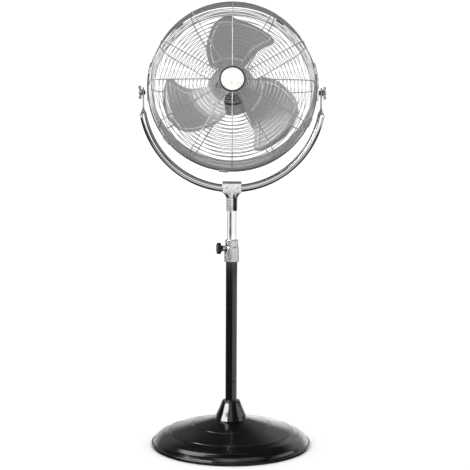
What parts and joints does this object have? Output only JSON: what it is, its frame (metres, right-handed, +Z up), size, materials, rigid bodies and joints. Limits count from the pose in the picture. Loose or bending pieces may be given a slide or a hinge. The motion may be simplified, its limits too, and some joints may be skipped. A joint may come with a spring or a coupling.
{
  "type": "pedestal fan",
  "caption": "Free-standing fan: heavy domed round base, telescoping pole, U-shaped yoke and a tilting wire-caged head with wide metal blades.",
  "frame": {"origin": "floor level on the pole axis, at the bottom centre of the fan", "axes": "+Z up the pole, the fan blows towards -Y at rest, +X is to the right seen from in front"},
  "size_m": [0.609, 0.526, 1.445],
  "materials": {
    "black_gloss": "gloss",
    "chrome": "polished",
    "steel": "satin",
    "aluminium": "satin",
    "black_plastic": "satin",
    "badge_white": "gloss",
    "motor_grey": "satin",
    "rubber": "matte",
    "iron": "rough"
  },
  "bodies": {
    "stand": {"base_cover": "black_gloss", "base_weight": "iron", "foot_1": "rubber", "foot_2": "rubber", "foot_3": "rubber", "foot_4": "rubber", "foot_5": "rubber", "pole_flange": "iron", "base_bolt": "steel", "base_shroud": "black_gloss", "outer_pole": "black_gloss", "pole_screw": "steel", "height_collar": "steel", "clamp_bush": "black_plastic"},
    "height_knob": {"height_knob": "black_plastic"},
    "mast": {"inner_pole": "chrome"},
    "yoke": {"yoke_tube": "chrome", "yoke_socket": "steel", "socket_rivet_1": "steel", "socket_rivet_2": "steel", "socket_screw_1": "steel", "socket_screw_2": "steel", "pivot_washer_left": "black_plastic", "pivot_washer_right": "black_plastic"},
    "wing_nut_left": {"wing_nut_left": "chrome"},
    "wing_nut_right": {"wing_nut_right": "chrome"},
    "head": {"front_grille": "chrome", "front_rim": "chrome", "rear_grille": "chrome", "rear_rim": "chrome", "guard_clip_1": "chrome", "guard_clip_2": "chrome", "guard_clip_3": "chrome", "guard_clip_4": "chrome", "guard_clip_5": "chrome", "pivot_bracket_left": "chrome", "pivot_bracket_right": "chrome", "pivot_spacer_left": "black_plastic", "pivot_spacer_right": "black_plastic", "badge": "badge_white", "badge_ring": "black_plastic", "motor_housing": "motor_grey", "motor_stator": "iron", "motor_end_bell": "motor_grey", "motor_bolt_1": "steel", "motor_bolt_2": "steel", "motor_bolt_3": "steel", "motor_bolt_4": "steel", "control_pod": "black_plastic", "cord_gland": "black_plastic"},
    "rotor": {"motor_shaft": "steel", "rotor_core": "iron", "hub_spider": "steel", "hub_cap": "black_plastic", "blade_1": "aluminium", "blade_2": "aluminium", "blade_3": "aluminium"},
    "speed_knob": {"speed_knob": "black_plastic"}
  },
  "joints": [
    {"name": "mast_slide", "type": "slide", "parent": "stand", "child": "mast", "axis": [0, 0, 1], "range_m": [-0.09, 0.3]},
    {"name": "yoke_swivel", "type": "hinge", "parent": "mast", "child": "yoke", "pos_m": [0, 0, 0.8], "axis": [0, 0, 1], "range_deg": [-180, 180]},
    {"name": "head_tilt", "type": "hinge", "parent": "yoke", "child": "head", "pos_m": [0, 0, 1.155], "axis": [1, 0, 0], "range_deg": [-78, 70]},
    {"name": "blade_spin", "type": "hinge", "parent": "head", "child": "rotor", "pos_m": [0, -0.01628, 1.17559], "axis": [0, -0.9806, 0.1959], "continuous": true},
    {"name": "height_knob_turn", "type": "hinge", "parent": "stand", "child": "height_knob", "pos_m": [-0.04206, -0.00894, 0.65], "axis": [-0.9781, -0.2079, 0], "range_deg": [0, 720]},
    {"name": "wing_nut_left_turn", "type": "hinge", "parent": "head", "child": "wing_nut_left", "pos_m": [-0.297, 0, 1.155], "axis": [-1, 0, 0], "range_deg": [0, 720]},
    {"name": "wing_nut_right_turn", "type": "hinge", "parent": "head", "child": "wing_nut_right", "pos_m": [0.297, 0, 1.155], "axis": [1, 0, 0], "range_deg": [0, 720]},
    {"name": "speed_knob_turn", "type": "hinge", "parent": "head", "child": "speed_knob", "pos_m": [0, 0.11276, 1.16816], "axis": [0, 0.9806, -0.1959], "range_deg": [0, 135]}
  ]
}
